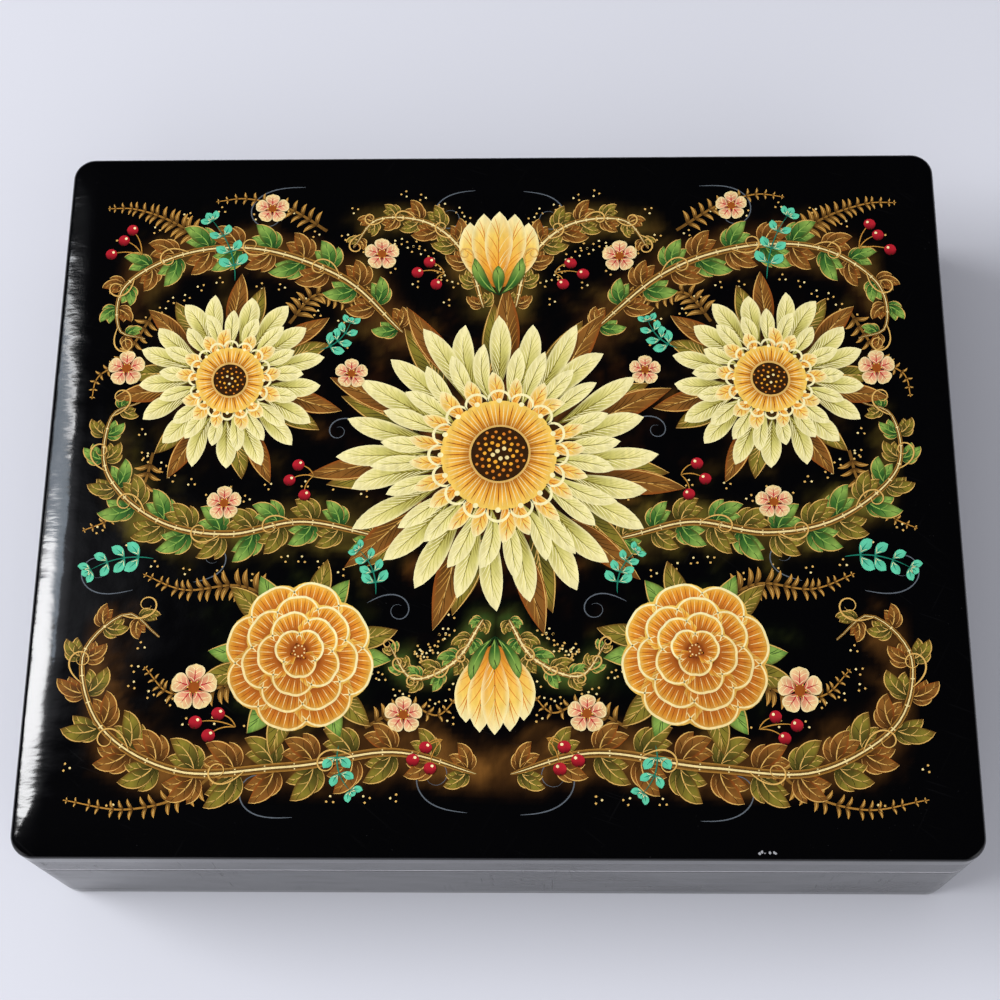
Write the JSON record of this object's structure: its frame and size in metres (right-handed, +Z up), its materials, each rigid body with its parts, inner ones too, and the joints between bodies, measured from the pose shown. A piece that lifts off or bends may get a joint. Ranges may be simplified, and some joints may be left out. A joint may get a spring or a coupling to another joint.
{
  "type": "lacquer box",
  "caption": "Low rectangular box of lacquered papier-mache with rounded corners and a hinged lid, soft at its edges, that drops over an inner neck.",
  "frame": {"origin": "on the table under the middle of the closed box", "axes": "+X to the right along the width, +Y to the hinged back, +Z up"},
  "size_m": [0.22, 0.18, 0.05],
  "materials": {
    "black_lacquer": "deep polished black lacquer",
    "red_lacquer": "polished red lacquer",
    "hinge_brass": "aged brass"
  },
  "bodies": {
    "base": {"bottom_board": "black_lacquer", "base_wall": "black_lacquer", "inner_sleeve": "red_lacquer", "left_hinge_base_leaf": "hinge_brass", "left_hinge_pin": "hinge_brass", "left_hinge_base_nails": "hinge_brass", "right_hinge_base_leaf": "hinge_brass", "right_hinge_pin": "hinge_brass", "right_hinge_base_nails": "hinge_brass"},
    "lid": {"lid_rim": "black_lacquer", "lid_board": "black_lacquer", "left_hinge_lid_leaf": "hinge_brass", "left_hinge_lid_nails": "hinge_brass", "right_hinge_lid_leaf": "hinge_brass", "right_hinge_lid_nails": "hinge_brass"}
  },
  "joints": [
    {"name": "lid_hinge", "type": "hinge", "parent": "base", "child": "lid", "pos_m": [0, 0.088, 0.033], "axis": [-1, 0, 0], "range_deg": [0, 100]}
  ]
}
